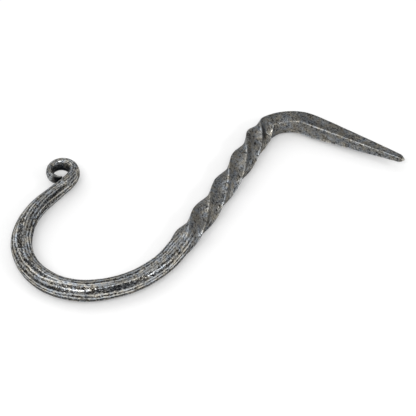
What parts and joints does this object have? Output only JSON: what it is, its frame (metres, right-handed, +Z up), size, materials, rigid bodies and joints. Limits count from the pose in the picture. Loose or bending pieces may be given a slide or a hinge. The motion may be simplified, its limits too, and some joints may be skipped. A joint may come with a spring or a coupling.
{
  "type": "cup hook",
  "caption": "Forged drive-in hook in one piece: a square tapered spike, a twisted shank, a wide round hook and a small scroll at its tip, laid on its side.",
  "frame": {"origin": "centre of the outline's box on the plane that the hook lies on", "axes": "+Z up through the thickness of the bar, +Y along the shank towards the bend, +X the way the spike points"},
  "size_m": [0.1226, 0.1281, 0.0101],
  "materials": {
    "forged_steel": "hand-forged mild steel with a waxed dark grey pewter patina, rubbed brighter along its ridges and corners"
  },
  "bodies": {
    "root": {"cup_hook": "forged_steel"}
  },
  "joints": []
}
